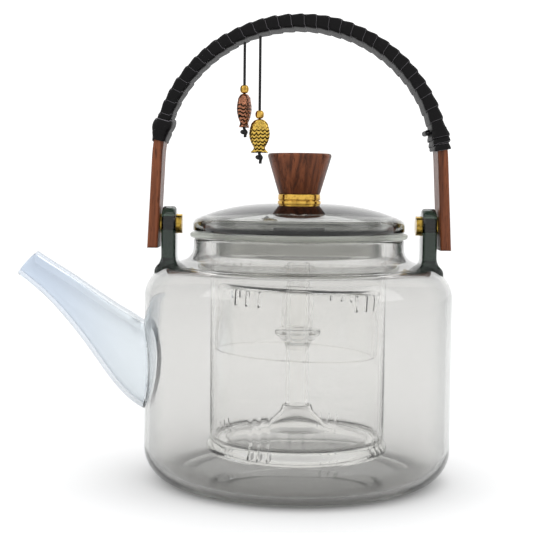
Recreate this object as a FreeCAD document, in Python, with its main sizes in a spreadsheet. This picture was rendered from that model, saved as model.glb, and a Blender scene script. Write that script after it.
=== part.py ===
import FreeCAD, Part
import math
import os
import re

import Sketcher
from FreeCAD import Placement, Rotation, Vector

# A glass teapot with a percolating glass infuser and a swinging wooden handle, in millimetres.
# +Z is up, the origin is the centre of the base on the table, the spout points along -X and
# the handle swings about an axis along X.

# Driving dimensions. Each is a cell of the sheet, and everything else is worked out from them.
SIZES = {
    # glass pot
    "body_radius": 70.0,
    "body_wall": 2.2,
    "base_thick": 2.6,
    "base_round": 15.0,
    "floor_rise": 1.2,
    "shoulder_start": 83.5,
    "shoulder_round": 15.0,
    "shoulder_pitch": 15.0,
    "shoulder_width": 22.1,
    "neck_flare": 6.0,
    "neck_straight": 4.3,
    # spout, as round sections: how far out of the body's wall, how high, how big, how tilted
    "spout_wall": 2.0,
    "spout_root_reach": -6.5,
    "spout_root_height": 51.4,
    "spout_root_radius": 20.0,
    "spout_root_tilt": 0.0,
    "spout_heel_reach": 0.7,
    "spout_heel_height": 51.4,
    "spout_heel_radius": 19.6,
    "spout_heel_tilt": 0.0,
    "spout_low_reach": 14.7,
    "spout_low_height": 63.2,
    "spout_low_radius": 15.2,
    "spout_low_tilt": 15.7,
    "spout_middle_reach": 27.6,
    "spout_middle_height": 76.3,
    "spout_middle_radius": 10.9,
    "spout_middle_tilt": 20.6,
    "spout_high_reach": 40.6,
    "spout_high_height": 88.1,
    "spout_high_radius": 7.9,
    "spout_high_tilt": 33.7,
    "spout_tip_reach": 54.0,
    "spout_tip_height": 97.7,
    "spout_tip_radius": 6.95,
    "spout_tip_tilt": 40.9,
    # lugs and pivots
    "pin_rise": 6.2,
    "lug_gap": 7.9,
    "lug_thick": 6.5,
    "lug_half_width": 8.0,
    "lug_edge_round": 1.6,
    "lug_foot_spread": 1.8,
    "lug_foot_rise": 3.2,
    "shank_radius": 1.9,
    "pivot_clearance": 0.05,
    "sleeve_wall": 1.2,
    "fit_gap": 0.02,
    "turning_gap": 0.1,
    "washer_radius": 4.5,
    "outer_washer_thick": 0.6,
    "inner_washer_thick": 0.5,
    "nut_radius": 4.4,
    "nut_thick": 2.0,
    "head_radius": 2.6,
    "head_proud": 0.7,
    "head_sunk": 0.5,
    # handle
    "strip_thick": 4.7,
    "strip_width": 19.5,
    "strip_edge_round": 1.2,
    "arch_rise": 27.0,
    "leg_splay": 2.8,
    "leg_drop": 10.8,
    "leg_gap": 0.25,
    "wrap_thick": 1.15,
    "wrap_left_end": 8.5,
    "wrap_right_end": 6.8,
    "band_thick": 1.1,
    "band_sweep": 6.0,
    "tail_radius": 1.3,
    "tail_length": 14.0,
    "tail_step": 2.0,
    "layer_gap": 0.03,
    # liner
    "mouth_gap": 0.3,
    "flange_thick": 2.2,
    "flange_lap": 1.6,
    "liner_gap": 5.7,
    "liner_wall": 1.5,
    "liner_floor_gap": 9.9,
    "foot_bulge": 1.4,
    "foot_tall": 2.0,
    "floor_edge_gap": 7.5,
    "floor_edge_rise": 5.0,
    "funnel_rise": 14.1,
    "funnel_round": 10.5,
    "riser_radius": 5.2,
    "riser_wall": 1.5,
    "riser_seat": 1.2,
    "riser_top_drop": 15.0,
    "bead_radius": 10.5,
    "bead_tall": 2.4,
    "bead_taper": 4.5,
    # strainer hood
    "hood_gap": 1.3,
    "hood_wall": 1.6,
    "hood_round": 2.0,
    "hood_tall": 31.8,
    "hood_top_drop": 20.4,
    "hood_tilt": 2.5,
    "hood_sleeve_gap": 0.8,
    "hood_sleeve_wall": 1.2,
    "hood_sleeve_length": 20.4,
    "hood_rest_gap": 0.3,
    "slot_width": 1.0,
    "slot_tall": 7.6,
    "slot_rim_gap": 2.2,
    "liner_slot_step": 6.4,
    "liner_slot_turn": -25.0,
    "liner_slot_rise": 1.8,
    "hood_slot_step": 10.0,
    "hood_slot_turn": 52.0,
    # lid
    "lid_setback": 1.2,
    "lid_wall": 2.6,
    "lid_gap": 0.3,
    "lid_side": 4.9,
    "lid_edge_round": 4.0,
    "lid_rise": 4.5,
    "lid_bore": 2.4,
    "skirt_gap": 0.7,
    "skirt_wall": 1.8,
    "skirt_depth": 9.0,
    "vent_radius": 1.75,
    "vent_place": 26.0,
    "collar_radius": 9.7,
    "collar_sunk": 0.6,
    "collar_lower": 1.5,
    "collar_groove": 0.45,
    "collar_upper": 2.6,
    "knob_low_radius": 9.4,
    "knob_high_radius": 14.5,
    "knob_tall": 18.5,
    "knob_edge": 1.2,
    "screw_radius": 2.0,
    "screw_depth": 11.0,
    "screw_gap": 0.1,
    "gasket_radius": 12.2,
    "gasket_thick": 1.4,
    "plate_radius": 7.0,
    "plate_thick": 0.8,
    "screw_head_radius": 3.8,
    "screw_head_thick": 2.3,
    # charms: where each hangs along the arch, and the heights of its pieces under the wrap
    "cord_radius": 0.6,
    "cord_gap": 0.08,
    "cord_top_gap": 0.4,
    "hang_gap": 2.6,
    "hang_side": -9.0,
    "bead_ball_radius": 1.95,
    "knot_radius": 1.6,
    "fish_long": 15.3,
    "fish_half_width": 4.9,
    "fish_half_thick": 2.75,
    "copper_along": -25.2,
    "copper_drop": 23.6,
    "copper_turn": 60.0,
    "copper_knot": 4.6,
    "gold_along": -18.3,
    "gold_drop": 34.8,
    "gold_turn": -12.0,
    "gold_knot": 5.1,
}

doc = FreeCAD.newDocument("Teapot")
sheet = doc.addObject("Spreadsheet::Sheet", "Sizes")
for row, (alias, number) in enumerate(SIZES.items(), 1):
    sheet.set(f"A{row}", alias.replace("_", " "))
    sheet.set(f"B{row}", str(number))
    sheet.setAlias(f"B{row}", alias)
doc.recompute()

pieces = {}


def formula(text):
    """Puts the sheet's name in front of each of its aliases."""
    words = re.compile(r"[a-z]+(?:_[a-z]+)*")
    return words.sub(lambda m: f"Sizes.{m[0]}" if m[0] in SIZES else m[0], text)


def value(text):
    """The number that a formula of the sheet's aliases comes to now."""
    return float(sheet.evalExpression(formula(text)))


def bind(thing, **texts):
    """Ties properties of an object to formulas of the sheet's aliases."""
    for name, text in texts.items():
        thing.setExpression(name, formula(text))
    return thing


def place(thing, x="0", y="0", z="0", axis=(0, 0, 1), angle="0"):
    """Puts an object at a point, turned about an axis, all by formulas."""
    turn = Rotation(Vector(*axis), value(angle))
    thing.Placement = Placement(Vector(value(x), value(y), value(z)), turn)
    parts = {"Base.x": x, "Base.y": y, "Base.z": z, "Rotation.Angle": angle}
    for name, text in parts.items():
        if re.search("[a-z]", text):
            thing.setExpression(f"Placement.{name}", formula(text))
    return thing


def keep(node, thing):
    """Makes an object a sub-part of the teapot."""
    thing.Label = node
    pieces[node] = thing
    return thing


# Heights and radii that several pieces share, as formulas.
NECK = "(body_radius - shoulder_width)"
NECK_BORE = f"({NECK} - body_wall)"
SHOULDER_X = "(body_radius - shoulder_round + shoulder_round * sin(shoulder_pitch))"
SHOULDER_Z = "(shoulder_start + shoulder_round * cos(shoulder_pitch))"
FLARE_X = f"({NECK} + neck_flare)"
FLARE_FOOT_X = f"({FLARE_X} - neck_flare * sin(shoulder_pitch))"
FLARE_FOOT_Z = f"({SHOULDER_Z} + ({SHOULDER_X} - {FLARE_FOOT_X}) * tan(shoulder_pitch))"
FLARE_Z = f"({FLARE_FOOT_Z} + neck_flare * cos(shoulder_pitch))"
MOUTH = f"({FLARE_Z} + neck_straight)"
PIN = f"({MOUTH} + pin_rise)"
LUG_IN = f"({NECK} + lug_gap)"
LUG_OUT = f"({LUG_IN} + lug_thick)"
WASHER_OUT = f"({LUG_OUT} + turning_gap + outer_washer_thick)"
LEG_IN = f"({WASHER_OUT} + leg_gap)"
ARCH_Z = f"({PIN} + arch_rise)"
ARCH_IN = f"(({LEG_IN} - arch_rise * tan(leg_splay)) * cos(leg_splay))"
ARCH_OUT = f"({ARCH_IN} + strip_thick)"
LEG_OUT = f"({LEG_IN} + strip_thick / cos(leg_splay))"
WRAP_IN = f"({ARCH_IN} - layer_gap - wrap_thick)"
FLANGE_FOOT = f"({MOUTH} + mouth_gap)"
FLANGE_TOP = f"({FLANGE_FOOT} + flange_thick)"
LINER = f"({NECK_BORE} - liner_gap)"
LINER_BORE = f"({LINER} - liner_wall)"
LINER_FOOT = "(base_thick + liner_floor_gap)"
RISER_FOOT = f"({LINER_FOOT} + floor_edge_rise + liner_wall + funnel_rise)"
HOOD = f"({LINER_BORE} - hood_gap)"
HOOD_TOP = f"({FLANGE_FOOT} - hood_top_drop)"
SLEEVE_BORE = "(riser_radius + hood_sleeve_gap)"
SLEEVE = f"({SLEEVE_BORE} + hood_sleeve_wall)"
SLEEVE_FOOT = f"({HOOD_TOP} - hood_sleeve_length)"
BEAD_TOP = f"({SLEEVE_FOOT} - hood_rest_gap - {SLEEVE} * sin(hood_tilt))"
LID = f"({NECK} + flange_lap - lid_setback)"
LID_FOOT = f"({FLANGE_TOP} + lid_gap)"
LID_EDGE = f"({LID_FOOT} + lid_side)"
LID_TOP = f"({LID_EDGE} + lid_edge_round + lid_rise)"
DOME_HALF = f"({LID} - lid_edge_round)"
DOME = f"(({DOME_HALF}^2 + lid_rise^2) / (2 * lid_rise))"
DOME_Z = f"({LID_TOP} - {DOME})"
LID_UNDER = f"({LID_TOP} - lid_wall)"
COLLAR_TOP = f"({LID_TOP} + collar_lower + collar_groove + collar_upper - collar_sunk)"
KNOB_TOP = f"({COLLAR_TOP} + knob_tall)"
GASKET_FOOT = f"({LID_UNDER} - gasket_thick)"
PLATE_FOOT = f"({GASKET_FOOT} - plate_thick)"
HEAD_FOOT = f"({PLATE_FOOT} - screw_head_thick)"
HANG_Z = f"({ARCH_Z} + sqrt({WRAP_IN}^2 - copper_along^2) - hang_gap)"


def origin_plane(body, role):
    return next(plane for plane in body.Origin.OriginFeatures if plane.Role == role)


def edge_shape(start, end, radius, side):
    """The edge from one corner to the next, and which of its ends is its first."""
    a, b = Vector(*start), Vector(*end)
    if radius is None:
        return Part.LineSegment(a, b), 1
    chord = b - a
    reach = math.sqrt(max(radius**2 - chord.Length**2 / 4, 0.0)) / chord.Length
    left = Vector(-chord.y, chord.x) * reach
    centre = (a + b) * 0.5 + (left if side == "left" else -left)
    first, last = (a, b) if side == "left" else (b, a)
    turns = [math.atan2(p.y - centre.y, p.x - centre.x) for p in (first, last)]
    circle = Part.Circle(centre, Vector(0, 0, 1), radius)
    return Part.ArcOfCircle(circle, *turns), 1 if side == "left" else 2


def hold(sketch, kind, text, *ends):
    """Adds a size to a sketch and ties it to a formula."""
    number = sketch.addConstraint(Sketcher.Constraint(kind, *ends, value(text)))
    if re.search("[a-z]", text):
        name = f"size_{number}"
        sketch.renameConstraint(number, name)
        sketch.setExpression(f"Constraints.{name}", formula(text))


def draw(sketch, corners):
    """Draws a closed outline. A corner is (x, y), which a straight edge leaves, or (x, y, radius,
    side), which an arc leaves with its centre on that side of the way to the next corner."""
    whole = [(*corner, None, None)[:4] for corner in corners]
    points = [(value(x), value(y), 0) for x, y, _, _ in whole]
    edges = []
    for index, (_, _, radius, side) in enumerate(whole):
        size = value(radius) if radius else None
        shape, first = edge_shape(points[index], points[(index + 1) % len(whole)], size, side)
        edges.append((sketch.addGeometry(shape), first))
    for index, (edge, first) in enumerate(edges):
        after, its_first = edges[(index + 1) % len(edges)]
        sketch.addConstraint(Sketcher.Constraint("Coincident", edge, 3 - first, after, its_first))
    for (edge, first), (x, y, radius, _) in zip(edges, whole):
        for kind, text, axis in (("DistanceX", x, -2), ("DistanceY", y, -1)):
            if text == "0":
                sketch.addConstraint(Sketcher.Constraint("PointOnObject", edge, first, axis))
            else:
                hold(sketch, kind, text, -1, 1, edge, first)
        if radius:
            hold(sketch, "Radius", radius, edge)


def new_body(name, role, *outlines):
    """A body with one sketch on one of its origin planes."""
    body = doc.addObject("PartDesign::Body", f"{name}_body")
    sketch = body.newObject("Sketcher::SketchObject", f"{name}_outline")
    sketch.AttachmentSupport = [(origin_plane(body, role), "")]
    sketch.MapMode = "FlatFace"
    for corners in outlines:
        draw(sketch, corners)
    return body, sketch


def turned(name, *outlines, role="XZ_Plane", angle="360", backwards=False):
    """A body turned about the upright axis of its sketch."""
    body, sketch = new_body(name, role, *outlines)
    turn = body.newObject("PartDesign::Revolution", f"{name}_turn")
    turn.Profile = sketch
    turn.ReferenceAxis = (sketch, ["V_Axis"])
    turn.Reversed = backwards
    bind(turn, Angle=angle)
    return body


def padded(name, role, length, corners):
    """A body padded to both sides of its sketch."""
    body, sketch = new_body(name, role, corners)
    pad = body.newObject("PartDesign::Pad", f"{name}_pad")
    pad.Profile = sketch
    pad.SideType = "Symmetric"
    bind(pad, Length=length)
    return body


def ring(name, inner, outer, low, high):
    """A plain ring about the upright axis."""
    return turned(name, ((inner, low), (outer, low), (outer, high), (inner, high)))


def cylinder(name, radius, height, **where):
    """A plain round bar from a point, upright unless it is turned."""
    return place(bind(doc.addObject("Part::Cylinder", name), Radius=radius, Height=height), **where)


def cut(name, base, tool):
    result = doc.addObject("Part::Cut", name)
    result.Base, result.Tool = base, tool
    return result


def joined(name, shapes):
    result = doc.addObject("Part::MultiFuse", name)
    result.Shapes = shapes
    return result


def common(name, shapes):
    result = doc.addObject("Part::MultiCommon", name)
    result.Shapes = shapes
    return result


# ---- glass pot ----

OUTSIDE = (
    ("0", "0"),
    ("body_radius - base_round", "0", "base_round", "left"),
    ("body_radius", "base_round"),
    ("body_radius", "shoulder_start", "shoulder_round", "left"),
    (SHOULDER_X, SHOULDER_Z),
    (FLARE_FOOT_X, FLARE_FOOT_Z, "neck_flare", "right"),
    (NECK, FLARE_Z),
)


def pot_inside():
    """The inner outline, from the mouth down to the middle of the floor."""
    wide = "(neck_flare + body_wall)"
    tight = "(shoulder_round - body_wall)"
    corner = "(base_round - body_wall)"
    flat = "(body_radius - base_round)"
    return (
        (NECK_BORE, FLARE_Z, wide, "left"),
        (f"{FLARE_X} - {wide} * sin(shoulder_pitch)", f"{FLARE_Z} - {wide} * cos(shoulder_pitch)"),
        (
            f"body_radius - shoulder_round + {tight} * sin(shoulder_pitch)",
            f"shoulder_start + {tight} * cos(shoulder_pitch)",
            tight,
            "right",
        ),
        ("body_radius - body_wall", "shoulder_start"),
        ("body_radius - body_wall", f"base_thick + {corner}", corner, "right"),
        (flat, "base_thick", f"({flat}^2 + floor_rise^2) / (2 * floor_rise)", "left"),
        ("0", "base_thick + floor_rise"),
    )


lip = "(body_wall / 2)"
mouth_lip = (
    (NECK, f"{MOUTH} - {lip}", lip, "left"),
    (f"{NECK} - {lip}", MOUTH, lip, "left"),
    (NECK_BORE, f"{MOUTH} - {lip}"),
)
pot_shell = turned("pot_shell", OUTSIDE + mouth_lip + pot_inside())
pot_outside = turned("pot_outside", OUTSIDE + (("0", FLARE_Z),))


def spout_form(name, wall):
    """A round, curved horn through the spout's sections, thinner by a wall."""
    sections = []
    for part in ("root", "heel", "low", "middle", "high", "tip"):
        circle = doc.addObject("Part::Circle", f"{name}_{part}")
        bind(circle, Radius=f"spout_{part}_radius - {wall}")
        place(
            circle,
            x=f"-(body_radius + spout_{part}_reach)",
            z=f"spout_{part}_height",
            axis=(0, 1, 0),
            angle=f"spout_{part}_tilt - 90",
        )
        sections.append(circle)
    horn = doc.addObject("Part::Loft", name)
    horn.Sections = sections
    horn.Solid = True
    return horn


spout_outside = spout_form("spout_outside", "0")
spout_bore = spout_form("spout_bore", "spout_wall")
keep("spout", cut("spout_open", cut("spout_shell", spout_outside, spout_bore), pot_outside))
keep("pot_body", cut("pot_open", pot_shell, spout_bore))

# ---- lugs, sleeves and pivots ----


def lug():
    """An upright glass ear: flat to both sides, round on top, with a spread foot on the shoulder."""
    low = f"({SHOULDER_Z} - shoulder_round)"
    foot = f"({SHOULDER_Z} + lug_foot_rise)"
    top = f"({PIN} + lug_half_width)"
    side = padded(
        "lug_side",
        "XZ_Plane",
        "4 * lug_half_width",
        (
            (f"{LUG_IN} - lug_foot_spread", low),
            (f"{LUG_OUT} + lug_foot_spread", low),
            (f"{LUG_OUT} + lug_foot_spread", f"{foot} - lug_foot_spread", "lug_foot_spread", "right"),
            (LUG_OUT, foot),
            (LUG_OUT, f"{top} - lug_edge_round", "lug_edge_round", "left"),
            (f"{LUG_OUT} - lug_edge_round", top),
            (f"{LUG_IN} + lug_edge_round", top, "lug_edge_round", "left"),
            (LUG_IN, f"{top} - lug_edge_round"),
            (LUG_IN, foot, "lug_foot_spread", "right"),
            (f"{LUG_IN} - lug_foot_spread", f"{foot} - lug_foot_spread"),
        ),
    )
    wide = "(lug_half_width + lug_foot_spread)"
    front = padded(
        "lug_front",
        "YZ_Plane",
        "4 * body_radius",
        (
            (f"-{wide}", low),
            (wide, low),
            (wide, f"{foot} - lug_foot_spread", "lug_foot_spread", "right"),
            ("lug_half_width", foot),
            ("lug_half_width", PIN, "lug_half_width", "left"),
            ("0", top, "lug_half_width", "left"),
            ("-lug_half_width", PIN),
            ("-lug_half_width", foot, "lug_foot_spread", "right"),
            (f"-{wide}", f"{foot} - lug_foot_spread"),
        ),
    )
    return common("lug_blank", [side, front])


def along_x(name, radius, start, end):
    """A round bar along X at the pin's height."""
    where = {"x": start, "z": PIN, "axis": (0, 1, 0), "angle": "90"}
    return cylinder(name, radius, f"({end}) - ({start})", **where)


def tube_along_x(name, outer, inner, start, end):
    return cut(name, along_x(f"{name}_bar", outer, start, end), along_x(f"{name}_hole", inner, start, end))


def pivot_screw(name):
    """A domed head sunk a little into the leg, and a plain shank that ends in the nut."""
    seat = f"({LEG_OUT} - head_sunk)"
    nut_end = f"{LUG_IN} - turning_gap - inner_washer_thick - nut_thick"
    shank = along_x(f"{name}_shank", "shank_radius", nut_end, seat)
    dome = bind(doc.addObject("Part::Sphere", f"{name}_dome"), Radius="head_radius * 1.6")
    proud = "(head_sunk + head_proud)"
    place(dome, x=f"{seat} + {proud} - head_radius * 1.6", z=PIN)
    disc = along_x(f"{name}_disc", "head_radius", seat, f"{seat} + {proud}")
    return joined(name, [shank, common(f"{name}_head", [dome, disc])])


SLEEVE_RADIUS = "(shank_radius + pivot_clearance + sleeve_wall)"
SHANK_HOLE = "(shank_radius + pivot_clearance)"
lug_hole = along_x(
    "lug_hole", f"{SLEEVE_RADIUS} + fit_gap", f"{LUG_IN} - lug_thick", f"{LUG_OUT} + lug_thick"
)
for side, half_turn in (("right", "0"), ("left", "180")):
    inner_washer = f"({LUG_IN} - turning_gap - inner_washer_thick)"
    hardware = {
        f"lug_{side}": cut(f"lug_{side}_open", cut(f"lug_{side}_foot", lug(), pot_outside), lug_hole),
        f"lug_sleeve_{side}": tube_along_x(f"sleeve_{side}", SLEEVE_RADIUS, SHANK_HOLE, LUG_IN, LUG_OUT),
        f"pivot_screw_{side}": pivot_screw(f"screw_{side}"),
        f"leg_washer_{side}": tube_along_x(
            f"outer_washer_{side}",
            "washer_radius",
            SHANK_HOLE,
            f"{LUG_OUT} + turning_gap",
            WASHER_OUT,
        ),
        f"nut_washer_{side}": tube_along_x(
            f"inner_washer_{side}",
            "washer_radius",
            SHANK_HOLE,
            inner_washer,
            f"{LUG_IN} - turning_gap",
        ),
        f"pivot_nut_{side}": tube_along_x(
            f"nut_{side}", "nut_radius", SHANK_HOLE, f"{inner_washer} - nut_thick", inner_washer
        ),
    }
    for node, thing in hardware.items():
        keep(node, place(thing, angle=half_turn))

# ---- handle ----


def leg_corner(radius, height):
    """A corner of a leg at a height, on the side of the strip that has this arch radius."""
    fall = f"({ARCH_Z} + {radius} * sin(leg_splay) - {height})"
    return f"({radius} * cos(leg_splay) + {fall} * tan(leg_splay))", height


def leg_top(radius):
    """Where a leg meets the arch, on the side of the strip that has this arch radius."""
    return f"({radius} * cos(leg_splay))", f"({ARCH_Z} + {radius} * sin(leg_splay))"


def strip():
    """The bent wooden strip: an arch with straight legs that spread a little."""
    foot = f"({PIN} - leg_drop)"
    inner, outer = (leg_corner(r, foot) for r in (ARCH_IN, ARCH_OUT))
    inner_end, outer_end = (leg_top(r) for r in (ARCH_IN, ARCH_OUT))
    body = padded(
        "strip",
        "XZ_Plane",
        "strip_width",
        (
            inner,
            outer,
            (*outer_end, ARCH_OUT, "left"),
            ("0", f"{ARCH_Z} + {ARCH_OUT}", ARCH_OUT, "left"),
            (f"-{outer_end[0]}", outer_end[1]),
            (f"-{outer[0]}", foot),
            (f"-{inner[0]}", foot),
            (f"-{inner_end[0]}", inner_end[1], ARCH_IN, "right"),
            ("0", f"{ARCH_Z} + {ARCH_IN}", ARCH_IN, "right"),
            inner_end,
        ),
    )
    doc.recompute()
    pad = body.Tip
    side = value("strip_width") / 2
    faces = enumerate(pad.Shape.Faces, 1)
    flat = [f"Face{n}" for n, face in faces if abs(abs(face.CenterOfMass.y) - side) < 1e-6]
    edges = body.newObject("PartDesign::Fillet", "strip_edges")
    edges.Base = (pad, flat)
    bind(edges, Radius="strip_edge_round")
    return body


pin_hole = along_x("pin_hole", "shank_radius + fit_gap", f"-2 * {LEG_OUT}", f"2 * {LEG_OUT}")
seat = f"({LEG_OUT} - head_sunk)"
head_seats = [
    along_x("seat_right", "head_radius + fit_gap", seat, f"{seat} + strip_thick"),
    along_x("seat_left", "head_radius + fit_gap", f"-{seat} - strip_thick", f"-{seat}"),
]
keep("handle_strip", cut("strip_drilled", strip(), joined("strip_holes", [pin_hole, *head_seats])))


def sleeve_round_arch(name, skin, hollow, start, sweep):
    """A hollow oblong sleeve along the arch: skin and hollow are (inner radius, outer radius, half
    width), and start is its lower end on the right, in degrees above the arch's centre."""
    outlines = [
        ((inner, f"-{half}"), (outer, f"-{half}"), (outer, half), (inner, half))
        for inner, outer, half in (skin, hollow)
    ]
    body = turned(name, *outlines, role="XY_Plane", angle=sweep, backwards=True)
    return place(body, z=ARCH_Z, axis=(0, 1, 0), angle=f"-({start})")


def layer(thick):
    """The skin of the arch with this much wrapped on the wood."""
    return f"({ARCH_IN} - {thick})", f"({ARCH_OUT} + {thick})", f"(strip_width / 2 + {thick})"


WRAPPED = "180 - wrap_left_end - wrap_right_end"
wrap_skin = layer("(layer_gap + wrap_thick)")
band_hollow = layer("(2 * layer_gap + wrap_thick)")
band_skin = layer("(2 * layer_gap + wrap_thick + band_thick)")
keep("wrap", sleeve_round_arch("wrap_sleeve", wrap_skin, layer("layer_gap"), "wrap_right_end", WRAPPED))
for side, start in (("right", "wrap_right_end"), ("left", "180 - wrap_left_end - band_sweep")):
    band = sleeve_round_arch(f"band_{side}", band_skin, band_hollow, start, "band_sweep")
    keep(f"wrap_band_{side}", band)

tail_turn = "(wrap_right_end + band_sweep + tail_step)"
tail_reach = f"({WRAP_IN} - layer_gap - tail_radius)"
tail = cylinder(
    "tail_roll",
    "tail_radius",
    "tail_length",
    x=f"{tail_reach} * cos({tail_turn})",
    y="tail_length / 2",
    z=f"{ARCH_Z} + {tail_reach} * sin({tail_turn})",
    axis=(1, 0, 0),
    angle="90",
)
keep("wrap_tail", tail)

# ---- liner with its floor and riser tube ----


def slot_cutters(name, radius, foot, turn, step):
    """Four groups of three upright slots through a round wall."""
    cutters = []
    for group in range(4):
        for number in (-1, 0, 1):
            angle = f"({turn} + {90 * group} + {number} * {step})"
            cutter = doc.addObject("Part::Box", f"{name}_{group}_{number + 1}")
            bind(cutter, Length="4 * slot_width", Width="slot_width", Height="slot_tall")
            start = f"({radius} - 2 * slot_width)"
            across = f"{start} * cos{angle} + slot_width / 2 * sin{angle}"
            along = f"{start} * sin{angle} - slot_width / 2 * cos{angle}"
            cutters.append(place(cutter, x=across, y=along, z=foot, angle=angle))
    return joined(name, cutters)


FLOOR_EDGE = f"({LINER} - floor_edge_gap)"
FLOOR_Z = f"({LINER_FOOT} + floor_edge_rise)"


def liner_floor():
    """The funnel-shaped glass floor that rises to the tube."""
    funnel_x = "(riser_radius + riser_seat + funnel_round)"
    funnel_foot = f"({RISER_FOOT} - funnel_round)"
    neck = "(riser_radius + riser_seat)"
    return turned(
        "floor_glass",
        (
            (f"{neck} - liner_wall", RISER_FOOT, "funnel_round + liner_wall", "left"),
            (funnel_x, f"{funnel_foot} - liner_wall"),
            (FLOOR_EDGE, FLOOR_Z),
            (FLOOR_EDGE, f"{FLOOR_Z} + liner_wall"),
            (funnel_x, funnel_foot, "funnel_round", "right"),
            (neck, RISER_FOOT),
        ),
    )


def liner():
    """A glass beaker that hangs by its flange, open in the middle of its foot for the floor."""
    foot_top = f"({LINER_FOOT} + foot_tall + foot_bulge)"
    return turned(
        "liner_glass",
        (
            (FLOOR_EDGE, FLOOR_Z),
            (f"{LINER} - 2 * liner_wall", LINER_FOOT),
            (f"{LINER} + foot_bulge - foot_tall", LINER_FOOT, "foot_tall", "left"),
            (f"{LINER} + foot_bulge", f"{LINER_FOOT} + foot_tall"),
            (LINER, f"{foot_top} + foot_tall"),
            (LINER, FLANGE_FOOT),
            (f"{NECK} + flange_lap", FLANGE_FOOT),
            (f"{NECK} + flange_lap", FLANGE_TOP),
            (LINER_BORE, FLANGE_TOP),
            (LINER_BORE, f"{foot_top} + foot_tall"),
            (FLOOR_EDGE, f"{FLOOR_Z} + liner_wall"),
        ),
    )


liner_slots = slot_cutters(
    "liner_slots", LINER, f"{LINER_FOOT} + liner_slot_rise", "liner_slot_turn", "liner_slot_step"
)
keep("liner", cut("liner_slotted", liner(), liner_slots))
keep("liner_floor", liner_floor())

RISER_TOP = f"({FLANGE_FOOT} - riser_top_drop)"
riser = turned(
    "riser",
    (
        ("riser_radius - riser_wall", RISER_FOOT),
        ("riser_radius", RISER_FOOT),
        ("riser_radius", f"{BEAD_TOP} - bead_tall - bead_taper"),
        ("bead_radius", f"{BEAD_TOP} - bead_tall"),
        ("bead_radius", BEAD_TOP),
        ("riser_radius", BEAD_TOP),
        ("riser_radius", RISER_TOP),
        ("riser_radius - riser_wall", RISER_TOP),
    ),
)
keep("riser_tube", riser)

# ---- strainer hood, leaning a little on the riser ----


def lean(thing):
    """Tilts a piece of the hood about the middle of its sleeve."""
    middle = f"({HOOD_TOP} - hood_sleeve_length / 2)"
    across = f"-{middle} * sin(hood_tilt)"
    return place(
        thing, x=across, z=f"{middle} * (1 - cos(hood_tilt))", axis=(0, 1, 0), angle="hood_tilt"
    )


hood_glass = turned(
    "hood_glass",
    (
        (SLEEVE, f"{HOOD_TOP} - hood_wall"),
        (f"{HOOD} - hood_round", f"{HOOD_TOP} - hood_wall", "hood_round - hood_wall", "right"),
        (f"{HOOD} - hood_wall", f"{HOOD_TOP} - hood_round"),
        (f"{HOOD} - hood_wall", f"{HOOD_TOP} - hood_tall"),
        (HOOD, f"{HOOD_TOP} - hood_tall"),
        (HOOD, f"{HOOD_TOP} - hood_round", "hood_round", "left"),
        (f"{HOOD} - hood_round", HOOD_TOP),
        (SLEEVE, HOOD_TOP),
    ),
)
hood_slots = slot_cutters(
    "hood_slots", HOOD, f"{HOOD_TOP} - slot_rim_gap - slot_tall", "hood_slot_turn", "hood_slot_step"
)
keep("hood", lean(cut("hood_slotted", hood_glass, hood_slots)))
keep("hood_sleeve", lean(ring("hood_tube", SLEEVE_BORE, SLEEVE, SLEEVE_FOOT, HOOD_TOP)))

# ---- lid with its knob ----


def dome_height(radius, x):
    return f"({DOME_Z} + sqrt({radius}^2 - {x}^2))"


def lid_glass():
    """A shallow dome with a rolled rim, and a hole in the middle for the knob's screw."""
    under = f"({DOME} - lid_wall)"
    inner_round = "(lid_edge_round - lid_wall)"
    roll = "(lid_wall / 2)"
    return turned(
        "lid_glass",
        (
            ("lid_bore", dome_height(under, "lid_bore")),
            (DOME_HALF, dome_height(under, DOME_HALF), inner_round, "right"),
            (f"{LID} - lid_wall", LID_EDGE),
            (f"{LID} - lid_wall", f"{LID_FOOT} + {roll}", roll, "left"),
            (f"{LID} - {roll}", LID_FOOT, roll, "left"),
            (LID, f"{LID_FOOT} + {roll}"),
            (LID, LID_EDGE, "lid_edge_round", "left"),
            (DOME_HALF, dome_height(DOME, DOME_HALF), DOME, "left"),
            ("lid_bore", dome_height(DOME, "lid_bore")),
        ),
    )


lid_dome = lid_glass()
vent = cylinder("vent", "vent_radius", "lid_wall * 6", x="vent_place", z=f"{LID_UNDER} - lid_wall * 3")
keep("lid", cut("lid_vented", lid_dome, vent))
skirt = ring(
    "skirt_ring",
    f"{LINER_BORE} - skirt_gap - skirt_wall",
    f"{LINER_BORE} - skirt_gap",
    f"{FLANGE_FOOT} - skirt_depth",
    f"{LID_TOP} - lid_rise",
)
keep("lid_skirt", cut("skirt_seated", skirt, lid_dome))

collar_waist = "(collar_radius - collar_groove)"
collar_step = f"({LID_TOP} - collar_sunk + collar_lower)"
collar = turned(
    "collar_ring",
    (
        ("lid_bore", f"{LID_TOP} - collar_sunk"),
        ("collar_radius", f"{LID_TOP} - collar_sunk"),
        ("collar_radius", collar_step),
        (collar_waist, collar_step),
        (collar_waist, f"{collar_step} + collar_groove"),
        ("collar_radius", f"{collar_step} + collar_groove"),
        ("collar_radius", COLLAR_TOP),
        ("lid_bore", COLLAR_TOP),
    ),
)
keep("knob_collar", cut("collar_seated", collar, lid_dome))
keep(
    "knob",
    turned(
        "knob_wood",
        (
            ("screw_radius + screw_gap", COLLAR_TOP),
            ("knob_low_radius", COLLAR_TOP),
            ("knob_high_radius", f"{KNOB_TOP} - knob_edge", "knob_edge", "left"),
            ("knob_high_radius - knob_edge", KNOB_TOP),
            ("0", KNOB_TOP),
            ("0", f"{COLLAR_TOP} + screw_depth + screw_gap"),
            ("screw_radius + screw_gap", f"{COLLAR_TOP} + screw_depth + screw_gap"),
        ),
    ),
)
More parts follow.
